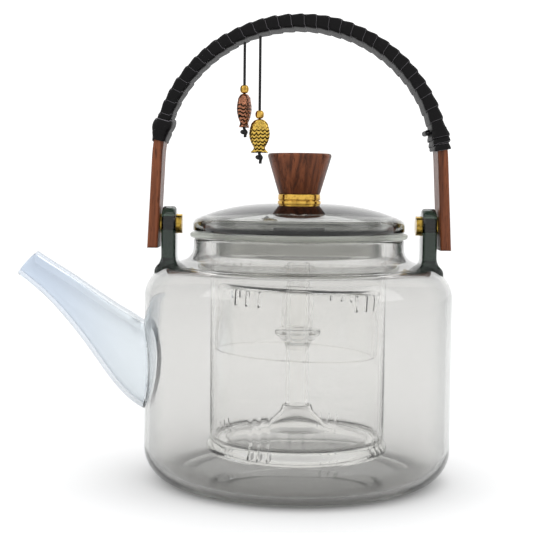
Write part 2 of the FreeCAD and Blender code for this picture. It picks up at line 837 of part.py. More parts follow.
gasket = ring("gasket_ring", "lid_bore", "gasket_radius", GASKET_FOOT, f"{LID_UNDER} + lid_wall / 2")
keep("lid_gasket", cut("gasket_seated", gasket, lid_dome))
keep("lid_plate", ring("plate_ring", "lid_bore", "plate_radius", PLATE_FOOT, GASKET_FOOT))
keep(
    "knob_screw",
    turned(
        "knob_bolt",
        (
            ("0", HEAD_FOOT),
            ("screw_head_radius", HEAD_FOOT),
            ("screw_head_radius", PLATE_FOOT),
            ("screw_radius", PLATE_FOOT),
            ("screw_radius", f"{COLLAR_TOP} + screw_depth"),
            ("0", f"{COLLAR_TOP} + screw_depth"),
        ),
    ),
)

# ---- charms ----

# Down a fish bead from its nose: share of its length, of its half width and of its half thickness.
FISH = (
    (0.0, 0.34, 0.45),
    (0.1, 0.62, 0.7),
    (0.23, 0.87, 0.92),
    (0.42, 1.0, 1.0),
    (0.65, 0.84, 0.9),
    (0.82, 0.6, 0.66),
    (0.91, 0.54, 0.54),
    (1.0, 0.72, 0.56),
)
CORD_HOLE = "(cord_radius + cord_gap)"


def fish(name, nose, along, turn):
    """A flat, round fish bead with a flared tail, threaded from nose to tail."""
    sections = []
    for number, (down, wide, thick) in enumerate(FISH):
        section = doc.addObject("Part::Ellipse", f"{name}_{number}")
        bind(section, MajorRadius=f"fish_half_width * {wide}", MinorRadius=f"fish_half_thick * {thick}")
        place(section, x=along, y="hang_side", z=f"{nose} - fish_long * {down}", angle=turn)
        sections.append(section)
    form = doc.addObject("Part::Loft", f"{name}_form")
    form.Sections = sections
    form.Solid = True
    hole = cylinder(
        f"{name}_hole", CORD_HOLE, "2 * fish_long", x=along, y="hang_side", z=f"{nose} - 1.5 * fish_long"
    )
    return cut(name, form, hole)


for metal in ("copper", "gold"):
    along = f"{metal}_along"
    nose = f"({ARCH_Z} + sqrt({WRAP_IN}^2 - copper_along^2) - {metal}_drop)"
    tail_end = f"({nose} - fish_long)"
    edge = f"(abs({along}) + cord_radius)"
    top = f"({ARCH_Z} + sqrt({WRAP_IN}^2 - {edge}^2) - cord_top_gap)"
    spot = {"x": along, "y": "hang_side"}
    keep(f"cord_{metal}", cylinder(f"{metal}_cord", "cord_radius", f"{top} - {tail_end}", **spot, z=tail_end))
    ball = bind(doc.addObject("Part::Sphere", f"{metal}_ball"), Radius="bead_ball_radius")
    place(ball, **spot, z=f"{nose} + bead_ball_radius + cord_gap")
    ball_hole = cylinder(f"{metal}_ball_hole", CORD_HOLE, "4 * bead_ball_radius", **spot, z=nose)
    keep(f"bead_{metal}", cut(f"{metal}_bead", ball, ball_hole))
    keep(f"fish_{metal}", fish(f"{metal}_fish", nose, along, f"{metal}_turn"))
    knot = turned(
        f"{metal}_knot_form",
        (
            ("0", f"-{metal}_knot"),
            ("knot_radius * 0.6", f"-{metal}_knot"),
            ("knot_radius", f"-{metal}_knot * 0.75"),
            ("knot_radius * 0.8", f"-{metal}_knot * 0.5"),
            ("knot_radius", f"-{metal}_knot * 0.25"),
            ("knot_radius * 0.6", "0"),
            ("0", "0"),
        ),
    )
    keep(f"knot_{metal}", place(knot, **spot, z=tail_end))

# ---- checks and files ----

doc.recompute()
faults = [thing.Name for thing in doc.Objects if {"Invalid", "Error"} & set(thing.State)]
for node, thing in pieces.items():
    shape = thing.Shape
    if shape.isNull() or not shape.isValid() or len(shape.Solids) != 1:
        faults.append(node)
if faults:
    raise SystemExit("Not built: " + ", ".join(faults))
for metal in ("copper", "gold"):
    length = pieces[f"cord_{metal}"].Shape.BoundBox.ZLength
    tube = math.pi * value("cord_radius") ** 2 * length
    print(f"cord_{metal}: one straight run of {length:.1f} mm, volume over section times length "
          f"{pieces[f'cord_{metal}'].Shape.Volume / tube:.4f}")
print("pin height", round(value(PIN), 3), "charm axis height", round(value(HANG_Z), 3))
os.makedirs("parts", exist_ok=True)
for node, thing in pieces.items():
    thing.Shape.exportStep(os.path.join("parts", f"{node}.step"))
print(len(pieces), "sub-parts written")
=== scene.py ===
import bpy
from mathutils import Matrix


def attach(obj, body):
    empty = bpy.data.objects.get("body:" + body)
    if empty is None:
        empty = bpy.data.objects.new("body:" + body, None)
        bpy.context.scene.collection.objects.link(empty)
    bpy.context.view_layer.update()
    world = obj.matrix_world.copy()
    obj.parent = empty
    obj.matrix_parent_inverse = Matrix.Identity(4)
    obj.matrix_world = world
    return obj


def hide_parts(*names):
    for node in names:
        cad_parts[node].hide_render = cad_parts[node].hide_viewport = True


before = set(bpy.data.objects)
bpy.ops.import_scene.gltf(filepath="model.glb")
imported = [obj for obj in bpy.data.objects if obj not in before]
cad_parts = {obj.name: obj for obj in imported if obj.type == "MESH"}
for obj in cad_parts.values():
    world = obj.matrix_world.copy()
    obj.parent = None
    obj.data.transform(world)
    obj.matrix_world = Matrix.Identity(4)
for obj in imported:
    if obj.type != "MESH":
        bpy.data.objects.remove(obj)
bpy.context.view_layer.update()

import math
import random

import bmesh
import bpy
from mathutils import Vector

# A glass teapot with its lid, glass infuser, leather-wrapped handle and two fish charms.
# The teapot's sizes are in millimetres, which MM turns into metres, and +Z is up. The camera
# and the lamps are placed in metres.
MM = 0.001
dice = random.Random(7)


# ---- shader maths ----


class Value:
    """A socket of a material. Arithmetic on it adds Math nodes."""

    def __init__(self, finish, socket):
        self.finish = finish
        self.socket = socket

    def math(self, operation, *terms, **settings):
        return self.finish.node("Math", {"operation": operation, **settings}, *terms)

    def __add__(self, other):
        return self.math("ADD", self, other)

    def __radd__(self, other):
        return self.math("ADD", other, self)

    def __sub__(self, other):
        return self.math("SUBTRACT", self, other)

    def __rsub__(self, other):
        return self.math("SUBTRACT", other, self)

    def __mul__(self, other):
        return self.math("MULTIPLY", self, other)

    def __rmul__(self, other):
        return self.math("MULTIPLY", other, self)

    def __abs__(self):
        return self.math("ABSOLUTE", self)

    def wave(self):
        return self.math("SINE", self)

    def within(self):
        """The same value, held between 0 and 1."""
        return self.math("ADD", self, 0.0, use_clamp=True)

    def step(self, low, high):
        """0 below low, 1 above high and smooth between."""
        return self.finish.node("MapRange", {"interpolation_type": "SMOOTHSTEP"}, self, low, high)


class Finish:
    """A material round one Principled shader."""

    def __init__(self, name, **constants):
        self.material = bpy.data.materials.new(name)
        self.material.use_nodes = True
        self.tree = self.material.node_tree
        self.shader = self.tree.nodes["Principled BSDF"]
        self.output = self.tree.nodes["Material Output"]
        for socket, number in constants.items():
            self.shader.inputs[socket.replace("_", " ")].default_value = number

    def node(self, kind, settings=None, *given, output=0, **named):
        """Adds a node: its settings first, then the values or links of its sockets."""
        made = self.tree.nodes.new("ShaderNode" + kind)
        for name, setting in (settings or {}).items():
            setattr(made, name, setting)
        for key, value in [*enumerate(given), *named.items()]:
            socket = made.inputs[key.replace("_", " ") if isinstance(key, str) else key]
            if isinstance(value, Value):
                self.tree.links.new(value.socket, socket)
            elif value is not None:
                socket.default_value = value
        return Value(self, made.outputs[output])

    def feed(self, socket, value):
        """Links a value to one of the shader's sockets."""
        self.tree.links.new(value.socket, self.shader.inputs[socket])
        return self

    def place(self, size=(1, 1, 1), centre=(0, 0, 0), turn=(0, 0, 0)):
        """Coordinates on the piece: 1 is this size in millimetres, from a centre and turned."""
        at = self.node("TexCoord", output="Object")
        return self.node(
            "Mapping",
            {"vector_type": "TEXTURE"},
            at,
            [c * MM for c in centre],
            [math.radians(t) for t in turn],
            [s * MM for s in size],
        )

    def axes(self, place):
        """The three numbers of a place."""
        split = self.node("SeparateXYZ", None, place)
        return [Value(self, socket) for socket in split.socket.node.outputs]

    def noise(self, place, detail=2.0, roughness=0.5, distortion=0.0):
        return self.node(
            "TexNoise",
            None,
            place,
            Scale=1.0,
            Detail=detail,
            Roughness=roughness,
            Distortion=distortion,
        )

    def cells(self, place):
        return self.node("TexVoronoi", {"feature": "F1"}, place, Scale=1.0)

    def mix(self, share, first, second):
        """Two colours mixed: the first at a share of 0 and the second at 1."""
        made = self.node("Mix", {"data_type": "RGBA"}, share, output=2)
        first_colour, second_colour = 6, 7
        for key, value in ((first_colour, first), (second_colour, second)):
            socket = made.socket.node.inputs[key]
            if isinstance(value, Value):
                self.tree.links.new(value.socket, socket)
            else:
                socket.default_value = value
        return made

    def raised(self, height, depth, strength=1.0):
        """Gives the surface relief: a height from 0 to 1 stands for this depth in millimetres."""
        relief = self.node("Bump", None, Strength=strength, Distance=depth * MM, Height=height)
        return self.feed("Normal", relief)


def shade(red, green, blue):
    """A colour from its 0 to 255 screen values."""
    parts = [c / 255 for c in (red, green, blue)]
    return (*[c / 12.92 if c <= 0.04045 else ((c + 0.055) / 1.055) ** 2.4 for c in parts], 1.0)


# ---- finishes ----


# A volume takes out its density times 1 minus its colour. This is that difference for the colour
# that is taken out most, so that none of them is quite black.
FULL_SOAK = 0.97


def glass(name, tint, soaks, ripple=0.012, ior=1.47):
    """Blown glass: clear, faintly rippled, and darker where it is thicker. Soaks is how much of
    each colour a millimetre takes out. Lamps shine through it as if it were thin and pale."""
    finish = Finish(name, Base_Color=tint, Roughness=0.0, IOR=ior, Transmission_Weight=1.0)
    drawn = finish.noise(finish.place((22, 22, 30)), 1.0)
    fine = finish.noise(finish.place((5, 5, 9)), 2.0)
    finish.raised(drawn * 0.8 + fine * 0.2, ripple)
    density = max(soaks) / MM / FULL_SOAK
    colour = [1 - s / MM / density for s in soaks]
    body = finish.node("VolumeAbsorption", None, (*colour, 1.0), density)
    finish.tree.links.new(body.socket, finish.output.inputs["Volume"])
    lamps = finish.node("LightPath", output="Is Shadow Ray")
    clear = finish.node("BsdfTransparent", None, [(3 + c) / 4 for c in tint])
    both = finish.node("MixShader", None, lamps)
    finish.tree.links.new(finish.shader.outputs[0], both.socket.node.inputs[1])
    finish.tree.links.new(clear.socket, both.socket.node.inputs[2])
    finish.tree.links.new(both.socket, finish.output.inputs["Surface"])
    return finish


def painted_edge_shade(finish, colour, edge):
    """Paints shade into the glass's colour where the wall turns away from the view: the edge colour
    is painted shade, for the dark edges that refraction gives.
    """
    away = finish.node("LayerWeight", None, 0.5, output="Facing").step(0.5, 0.96)
    return finish.feed("Base Color", finish.mix(away, colour, edge)).material


def smoke_glass():
    """Grey glass with painted shade at its edges, deepest at the sides of the neck."""
    tint = (0.838, 0.834, 0.826, 1)
    finish = glass("smoke_glass", tint, (0.042, 0.042, 0.044))
    neck = finish.axes(finish.place())[2].step(92, 98)
    # The edge colours are painted shade: mid grey on the body and near black at the sides of the
    # neck.
    edge = finish.mix(neck, (0.40, 0.42, 0.42, 1), (0.06, 0.065, 0.065, 1))
    return painted_edge_shade(finish, tint, edge)


def lid_smoke_glass():
    """Grey glass with faint round streaks of painted reflection, painted shade almost black in the
    rolled rim, and painted shade at its edges.
    """
    finish = glass("lid_smoke_glass", (0.78, 0.775, 0.77, 1), (0.050, 0.047, 0.050), 0.02)
    above_rim = finish.axes(finish.place())[2].step(114.4, 115.8)
    # Painted reflection: faint round grey streaks across the dome.
    streaks = finish.noise(finish.place((30, 30, 0.7)), 3.0, 0.6).step(0.5, 0.75)
    dome = finish.mix(streaks, (0.76, 0.755, 0.75, 1), (0.52, 0.515, 0.51, 1))
    # Painted shade: the rolled rim below the dome is near black.
    colour = finish.mix(above_rim, (0.02, 0.02, 0.02, 1), dome)
    return painted_edge_shade(finish, colour, (0.30, 0.30, 0.29, 1))


def skirt_shaded_smoke_glass():
    """The lid's glass in the ring that hangs below it, as a darker copy with painted shade, and with
    painted shade at its edges.
    """
    # A deeper tint than the lid's own: painted shade.
    tint = (0.62, 0.62, 0.595, 1)
    finish = glass("skirt_shaded_smoke_glass", tint, (0.050, 0.047, 0.050), 0.02)
    return painted_edge_shade(finish, tint, (0.25, 0.26, 0.25, 1))


def spout_glass():
    """Paler towards the wide end, bluer towards the mouth, with painted shade at its edges."""
    finish = glass("spout_glass", (0.93, 0.94, 0.95, 1), (0.030, 0.027, 0.025), ior=1.34)
    along = finish.axes(finish.place((60, 60, 60), (-66, 0, 50)))[0]
    share = (along * -1).step(0.1, 0.95)
    colour = finish.mix(share, shade(236, 239, 241), shade(224, 230, 238))
    # The edge colour is painted shade along the spout's outline.
    return painted_edge_shade(finish, colour, (0.24, 0.28, 0.34, 1))


def lug_glass():
    """Thick dark green-grey glass."""
    return glass("lug_glass", (0.17, 0.19, 0.17, 1), (0.150, 0.125, 0.138), 0.03).material


def infuser_glass():
    """Clear glass, almost without colour."""
    soaks = (0.0014, 0.0012, 0.0016)
    return glass("infuser_glass", (0.998, 0.997, 0.994, 1), soaks, ior=1.43).material


def flange_glass():
    """The infuser's clear glass, with a ground flange of a faint green."""
    clear_tint = (0.995, 0.993, 0.99, 1)
    finish = glass("flange_glass", clear_tint, (0.0020, 0.0016, 0.0024), ior=1.26)
    x, y, z = finish.axes(finish.place())
    ground = z.step(109.4, 110.1) * (x * x + y * y).step(1640, 1760)
    finish.feed("Base Color", finish.mix(ground, clear_tint, (0.95, 0.96, 0.92, 1)))
    finish.feed("Roughness", ground * 0.45)
    return finish.material


def brass(name="polished_brass", light=(208, 168, 80), dark=(118, 82, 30)):
    """Polished brass with fine turning lines and a little tarnish."""
    finish = Finish(name, Metallic=1.0)
    cloudy = finish.noise(finish.place((2.4, 2.4, 2.4)), 4.0, 0.6)
    lines = finish.noise(finish.place((6, 6, 0.12)), 2.0)
    finish.feed("Base Color", finish.mix(cloudy.step(0.42, 0.75), shade(*light), shade(*dark)))
    finish.feed("Roughness", cloudy * 0.16 + lines * 0.08 + 0.06)
    finish.raised(lines, 0.01, 0.5)
    return finish.material


def charm_metal(metal, light, dark, height):
    """Cast metal with carved fish scales, dark in the carving and worn bright on top, and
    smoother on the head."""
    spot = CHARMS[metal]
    centre = (spot["along"], CHARM_SIDE, height)
    finish = Finish(f"fish_{metal}_metal", Metallic=1.0)
    x, _, z = finish.axes(finish.place(centre=centre, turn=(0, 0, spot["turn"])))
    pits = finish.noise(finish.place((0.5, 0.5, 0.5)), 4.0, 0.6)
    drift = finish.noise(finish.place((3, 3, 3)), 1.0)
    zigzag = abs((x * 1.7 + drift * 2.5).wave())
    rows = abs((z * 1.9 + zigzag * 1.5 + drift * 2.2).wave())
    head = z.step(1.8, 4.2)
    carved = (1 - rows.step(0.22, 0.85)) * (1 - head * 0.75)
    worn = (carved + pits.step(0.46, 0.62) * 0.55).within()
    finish.feed("Base Color", finish.mix(worn, shade(*light), shade(*dark)))
    finish.feed("Roughness", pits * 0.2 + carved * 0.3 + 0.06)
    finish.raised(1 - carved * 0.9 + pits * 0.15, 0.28)
    return finish.material


def walnut(name, centre, turn=(0, 0, 0), light=(120, 67, 40), dark=(72, 37, 21)):
    """Oiled walnut with the grain along the piece's own length."""
    finish = Finish(name, Specular_IOR_Level=0.16, Coat_Roughness=0.3)
    bands = finish.noise(finish.place((2.6, 2.6, 70), centre, turn), 3.0, 0.55, 0.6)
    pores = finish.noise(finish.place((0.35, 0.35, 7), centre, turn), 3.0, 0.6)
    flecks = pores.step(0.56, 0.68)
    wood = finish.mix(bands.step(0.34, 0.66), shade(*light), shade(*dark))
    finish.feed("Base Color", finish.mix(flecks * 0.7, wood, shade(34, 18, 12)))
    finish.feed("Roughness", 0.42 + flecks * 0.2 - bands * 0.08)
    finish.feed("Coat Weight", 0.07 - flecks * 0.05)
    finish.raised(1 - flecks * 0.7 - bands * 0.15, 0.09)
    return finish.material


def leather():
    """Thin black hide: pebbled and creased, rubbed paler on the high spots, with a pale line on each
    turn's top edge that is partly the cut edge and partly painted highlight.
    """
    finish = Finish("black_leather", Specular_IOR_Level=0.13)
    pebbles = finish.cells(finish.place((0.55, 0.55, 0.55)))
    creases = finish.noise(finish.place((1.6, 1.6, 1.6)), 5.0, 0.65)
    rubbed = creases.step(0.55, 0.8)
    # The pale line on each turn's top edge is partly the leather's cut edge and partly painted
    # highlight.
    edge = finish.node("Attribute", {"attribute_name": "cut_edge_highlight"}, output="Fac").step(0.55, 0.95)
    hide = finish.mix(rubbed, shade(7, 6, 7), shade(26, 24, 26))
    finish.feed("Base Color", finish.mix(edge * (rubbed * 0.5 + 0.3), hide, shade(150, 146, 152)))
    finish.feed("Roughness", 0.36 + pebbles * 0.14 + creases * 0.12)
    finish.raised(pebbles * 0.5 + creases * 0.7, 0.07)
    return finish.material


def silicone():
    """Milky grey rubber that lets a little light in."""
    finish = Finish("clear_silicone", Subsurface_Weight=0.2, Subsurface_Scale=0.002)
    mottled = finish.noise(finish.place((3, 3, 3)), 3.0)
    finish.feed("Base Color", finish.mix(mottled, shade(176, 178, 176), shade(202, 203, 200)))
    finish.feed("Roughness", 0.42 + mottled * 0.14)
    finish.raised(mottled, 0.03)
    return finish.material


def steel():
    """Brushed steel with fine lines across it."""
    finish = Finish("brushed_steel", Metallic=1.0)
    lines = finish.noise(finish.place((0.1, 5, 5)), 2.0)
    finish.feed("Base Color", finish.mix(lines, shade(216, 217, 218), shade(236, 236, 236)))
    finish.feed("Roughness", 0.34 + lines * 0.16)
    finish.raised(lines, 0.01)
    return finish.material


def waxed_cord():
    """Black twisted cord: slanting strands, slightly shiny with wax."""
    finish = Finish("waxed_cord", Specular_IOR_Level=0.2, Sheen_Weight=0.1)
    x, _, z = finish.axes(finish.place())
    strands = abs((z * 5.2 + x * 2.4).wave())
    fuzz = finish.noise(finish.place((0.25, 0.25, 0.25)), 3.0)
    finish.feed("Base Color", finish.mix(strands, shade(8, 8, 9), shade(26, 25, 26)))
    finish.feed("Roughness", 0.48 + fuzz * 0.25)
    finish.raised(strands * 0.8 + fuzz * 0.3, 0.09)
    return finish.material


# ---- modelling by hand ----


def clear():
    """Back to object mode with nothing selected."""
    if bpy.context.mode != "OBJECT":
        bpy.ops.object.mode_set(mode="OBJECT")
    bpy.ops.object.select_all(action="DESELECT")


def alone(ob):
    """Selects one piece and nothing else."""
    clear()
    ob.select_set(True)
    bpy.context.view_layer.objects.active = ob
    return ob


def edit(ob):
    """Opens one piece in edit mode."""
    alone(ob)
    bpy.ops.object.mode_set(mode="EDIT")
    bpy.ops.mesh.select_mode(type="VERT")
    return ob


def started(name):
    """The primitive just added, named, in edit mode."""
    ob = bpy.context.object
    ob.name = name
    ob.data.name = name
    return edit(ob)


def pick(ob, kind, test):
    """Selects in edit mode the vertices, edges or faces that pass a test."""
    bpy.ops.mesh.select_mode(type=kind)
    bpy.ops.mesh.select_all(action="DESELECT")
    shape = bmesh.from_edit_mesh(ob.data)
    parts = {"VERT": shape.verts, "EDGE": shape.edges, "FACE": shape.faces}[kind]
    for part in parts:
        if test(part):
            part.select_set(True)
    shape.select_flush_mode()
    bmesh.update_edit_mesh(ob.data)


def middle(edge):
    """The point halfway along an edge, in metres."""
    return (edge.verts[0].co + edge.verts[1].co) / 2


def runs(edge, axis):
    """True if an edge lies along an axis, 0, 1 or 2."""
    way = edge.verts[1].co - edge.verts[0].co
    return abs(way[axis]) > 0.98 * way.length


def sound(ob, gap=0.0005):
    """Merges doubled vertices and points the faces outward."""
    edit(ob)
    bpy.ops.mesh.select_all(action="SELECT")
    bpy.ops.mesh.remove_doubles(threshold=gap * MM)
    bpy.ops.mesh.normals_make_consistent(inside=False)
    clear()
    return ob


def smooth(ob, angle=35):
    alone(ob)
    bpy.ops.object.shade_smooth_by_angle(angle=math.radians(angle))
    return ob


def modify(ob, kind, **settings):
    """Adds a modifier and applies it."""
    alone(ob)
    modifier = ob.modifiers.new(kind.title(), kind)
    for name, setting in settings.items():
        setattr(modifier, name, setting)
    bpy.ops.object.modifier_apply(modifier=modifier.name)
    return ob


def eased(ob, width, segments):
    """Bevels the sharp edges."""
    sharp = math.radians(50)
    settings = dict(segments=segments, limit_method="ANGLE", angle_limit=sharp)
    return modify(ob, "BEVEL", width=width * MM, **settings)


def carve(ob, tool):
    """Cuts a shape out of a piece and removes the shape."""
    modify(ob, "BOOLEAN", operation="DIFFERENCE", object=tool, solver="EXACT")
    bpy.data.objects.remove(tool)
    return ob


def settle(ob, move=(0, 0, 0), turn=(0, 0, 0), size=(1, 1, 1)):
    """Scales, turns in degrees and moves in millimetres, all written into the mesh."""
    alone(ob)
    ob.scale = size
    ob.rotation_euler = [math.radians(t) for t in turn]
    ob.location = [m * MM for m in move]
    bpy.ops.object.transform_apply(location=True, rotation=True, scale=True)
    return ob


def copy_of(ob):
    """A copy with its own mesh."""
    alone(ob)
    bpy.ops.object.duplicate(linked=False)
    return bpy.context.object


def join(name, obs):
    """Makes several pieces one mesh."""
    clear()
    for ob in obs:
        ob.select_set(True)
    bpy.context.view_layer.objects.active = obs[0]
    bpy.ops.object.join()
    obs[0].name = name
    return obs[0]


def rounded_off(corners):
    """For each rounded corner of an outline: the corner, how far back to cut it and in how
    many steps."""
    cuts = []
    for index, corner in enumerate(corners):
        if len(corner) < 3:
            continue
        here = Vector(corner[:2])
        before = Vector(corners[index - 1][:2])
        after = Vector(corners[(index + 1) % len(corners)][:2])
        turn = (here - before).angle(after - here)
        cuts.append((here, corner[2] * math.tan(turn / 2), max(2, round(math.degrees(turn) / 7))))
    return cuts


def lathe(name, corners, steps=96):
    """Turns an outline about the upright axis. A corner is (radius, height) or (radius, height,
    rounding). An outline that starts off the axis is closed into a ring."""
    clear()
    bpy.ops.mesh.primitive_circle_add(vertices=3, radius=MM)
    ob = started(name)
    bpy.ops.mesh.select_all(action="SELECT")
    bpy.ops.mesh.merge(type="CENTER")
    closed = corners[0][0] > 0
    at = Vector((0, 0))
    first = True
    for corner in [*corners, corners[0]] if closed else corners:
        way = Vector(corner[:2]) - at
        step = (way.x * MM, 0, way.y * MM)
        if first:
            bpy.ops.transform.translate(value=step)
        else:
            bpy.ops.mesh.extrude_region_move(TRANSFORM_OT_translate={"value": step})
        first = False
        at = Vector(corner[:2])
    bpy.ops.mesh.select_all(action="SELECT")
    bpy.ops.mesh.remove_doubles(threshold=0.0005 * MM)
    for here, offset, segments in rounded_off(corners):
        pick(ob, "VERT", lambda v: (Vector((v.co.x, v.co.z)) / MM - here).length < 0.002)
        bpy.ops.mesh.bevel(
            offset_type="OFFSET",
            offset=offset * MM,
            segments=segments,
            affect="VERTICES",
            clamp_overlap=False,
        )
    bpy.ops.mesh.select_all(action="SELECT")
    bpy.ops.mesh.spin(steps=steps, angle=2 * math.pi, center=(0, 0, 0), axis=(0, 0, 1))
    return smooth(sound(ob))


def loft(name, rings, vertices=32, ends=False):
    """A skin through round or oval rings: centre, half sizes across X and Y, and tilt about Y."""
    clear()
    first = True
    for centre, halves, tilt in rings:
        where = [c * MM for c in centre]
        bpy.ops.mesh.primitive_circle_add(
            vertices=vertices, radius=MM, location=where, rotation=(0, math.radians(tilt), 0)
        )
        if first:
            ob = started(name)
            edit(settled_in_place(ob))
            bpy.ops.mesh.select_all(action="SELECT")
        first = False
        bpy.ops.transform.resize(value=(halves[0], halves[1], halves[0]), center_override=where)
    bpy.ops.mesh.select_all(action="SELECT")
    bpy.ops.mesh.bridge_edge_loops()
    if ends:
        pick(ob, "EDGE", lambda e: e.is_boundary)
        bpy.ops.mesh.edge_face_add()
    clear()
    return sound(ob)


def bar(radius, start, end, sides=48):
    """A round cutter between two points."""
    clear()
    a, b = Vector(start) * MM, Vector(end) * MM
    turn = (b - a).to_track_quat("Z", "Y").to_euler()
    bpy.ops.mesh.primitive_cylinder_add(
        vertices=sides, radius=radius * MM, depth=(b - a).length, location=(a + b) / 2, rotation=turn
    )
    return settled_in_place(bpy.context.object)


def settled_in_place(ob):
    """Writes where a piece stands into its mesh."""
    alone(ob)
    bpy.ops.object.transform_apply(location=True, rotation=True, scale=True)
    return ob


def block(size, centre=(0, 0, 0)):
    """A plain block."""
    clear()
    where = [c * MM for c in centre]
    bpy.ops.mesh.primitive_cube_add(size=1, location=where, scale=[s * MM for s in size])
    return settled_in_place(bpy.context.object)


def strand(name, radius, points, fineness):
    """A round strand through points, as a curve."""
    data = bpy.data.curves.new(name, "CURVE")
    data.dimensions = "3D"
    data.bevel_depth = radius * MM
    data.bevel_resolution = 4
    data.use_fill_caps = True
    data.resolution_u = fineness
    spline = data.splines.new("NURBS")
    spline.points.add(len(points) - 1)
    for point, (x, y, z) in zip(spline.points, points):
        point.co = (x * MM, y * MM, z * MM, 1)
    spline.order_u = 3
    spline.use_endpoint_u = True
    ob = bpy.data.objects.new(name, data)
    bpy.context.scene.collection.objects.link(ob)
    return ob


def finished(ob, body, slot, finish, *nodes):
    """Gives a piece its material, body and name, and hides the CAD nodes that it stands for. The
    slot is not used.
    """
    ob.name = f"{nodes[0]}_piece"
    ob.data.materials.clear()
    ob.data.materials.append(finish)
    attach(ob, body)
    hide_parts(*nodes)
    return ob


# ---- camera, light and floor ----


def camera():
    """A long lens a little above the teapot, from the front and a touch to the left."""
    place = Vector((-0.010, -0.585, 0.134))
    aim = Vector((-0.0146, 0, 0.0968))
    roll = math.radians(0.6)
    data = bpy.data.cameras.new("camera")
    data.sensor_width = 36
    data.lens = 86.5
    data.clip_start = 0.01
    ob = bpy.data.objects.new("camera", data)
    bpy.context.scene.collection.objects.link(ob)
    ob.location = place
    ob.rotation_euler = (aim - ob.location).to_track_quat("-Z", "Y").to_euler()
    ob.rotation_euler.rotate_axis("Z", roll)
    bpy.context.scene.camera = ob


def softbox(name, place, width, height, power):
    """A soft lamp that shines at the middle of the teapot. Its size is in metres."""
    aim = (0, 0, 0.1)
    data = bpy.data.lights.new(name, "AREA")
    data.shape = "RECTANGLE"
    data.size = width
    data.size_y = height
    data.energy = power
    ob = bpy.data.objects.new(name, data)
    bpy.context.scene.collection.objects.link(ob)
    ob.location = place
    ob.rotation_euler = (Vector(aim) - Vector(place)).to_track_quat("-Z", "Y").to_euler()


def studio():
    """A white surround, a little dimmer overhead, with three soft lamps and a white floor."""
    scene = bpy.context.scene
    scene.view_settings.view_transform = "Standard"
    scene.view_settings.look = "None"
    scene.cycles.max_bounces = 40
    scene.cycles.transmission_bounces = 40
    scene.cycles.transparent_max_bounces = 40
    scene.cycles.glossy_bounces = 8
    scene.cycles.diffuse_bounces = 4
    scene.cycles.caustics_reflective = False
    scene.cycles.caustics_refractive = False
    world = bpy.data.worlds.new("studio")
    scene.world = world
    world.use_nodes = True
    nodes, links = world.node_tree.nodes, world.node_tree.links
    at = nodes.new("ShaderNodeTexCoord")
    split = nodes.new("ShaderNodeSeparateXYZ")
    ramp = nodes.new("ShaderNodeValToRGB")
    links.new(at.outputs["Generated"], split.inputs[0])
    links.new(split.outputs[2], ramp.inputs[0])
    ramp.color_ramp.elements[0].position = 0.30
    ramp.color_ramp.elements[0].color = (1, 1, 1, 1)
    ramp.color_ramp.elements[1].position = 0.75
    ramp.color_ramp.elements[1].color = (0.95, 0.955, 0.96, 1)
    links.new(ramp.outputs[0], nodes["Background"].inputs[0])
    nodes["Background"].inputs["Strength"].default_value = 1.2
    softbox("softbox_left", (-0.75, -0.35, 0.75), width=0.5, height=0.7, power=1.4)
    softbox("softbox_right", (0.8, -0.25, 0.7), width=0.4, height=0.7, power=1.2)
    softbox("softbox_back", (0.1, 0.7, 0.85), width=0.9, height=0.3, power=1.3)
    clear()
    bpy.ops.mesh.primitive_plane_add(size=12)
    floor = started("floor")
    bpy.ops.mesh.subdivide(number_cuts=3)
    clear()
    paper = Finish("floor_paper", Specular_IOR_Level=0.2)
    fibre = paper.noise(paper.place((3, 3, 3)), 3.0)
    paper.feed("Base Color", paper.mix(fibre, (0.93, 0.93, 0.93, 1), (0.95, 0.95, 0.95, 1)))
    paper.feed("Roughness", 0.7 + fibre * 0.2)
    floor.data.materials.append(paper.material)


# ---- charm cords ----

CHARM_SIDE = -9.0
CORD_RADIUS = 0.6
# Where each charm hangs along the arch, its turn in degrees, and the heights of its cord's top,
# its bead's middle, its fish's nose and tail and its knot's end.
CHARMS = {
    "copper": dict(
        along=-25.2, turn=60, top=197.55, bead=176.66, nose=174.63, tail=159.33, end=154.73
    ),
    "gold": dict(
        along=-18.3, turn=-12, top=200.28, bead=165.46, nose=163.43, tail=148.13, end=143.03
    ),
}


def charm_cord(metal):
    """A straight cord from the wrap down through the bead and the fish."""
    along, top, tail = (CHARMS[metal][key] for key in ("along", "top", "tail"))
    near_end = 7.2
    heights = [top, top - near_end, top - (top - tail) / 2, tail + near_end, tail]
    points = [(along, CHARM_SIDE, height) for height in heights]
    ob = strand(f"cord_{metal}", CORD_RADIUS, points, 6)
    return finished(ob, f"charm_{metal}", "black_cord", CORD, f"cord_{metal}")


# ---- glass pot ----

# How fast the shoulder rises towards the neck, the height where it would start at the outer
# wall, how deep its glass is when measured upright, and the height of the spout's root.
SLOPE = math.tan(math.radians(15))
SHOULDER_Z = 95.01
SHOULDER_DEEP = 2.28
SPOUT_Z = 51.4
# The pivot's height, where the lugs stand and how thick and wide they are.
PIN_Z = 116.036
LUG_X = 59.05
LUG_THICK = 6.5
LUG_WIDE = 16


def pot_outline():
    """The outside, from the middle of the base to the foot of the neck."""
    return [
        (0, 0.7),
        (46, 0.7, 30),
        (54, 0, 30),
        (70, 0, 15),
        (70, SHOULDER_Z, 15),
        (47.9, SHOULDER_Z + 22.1 * SLOPE, 6),
    ]


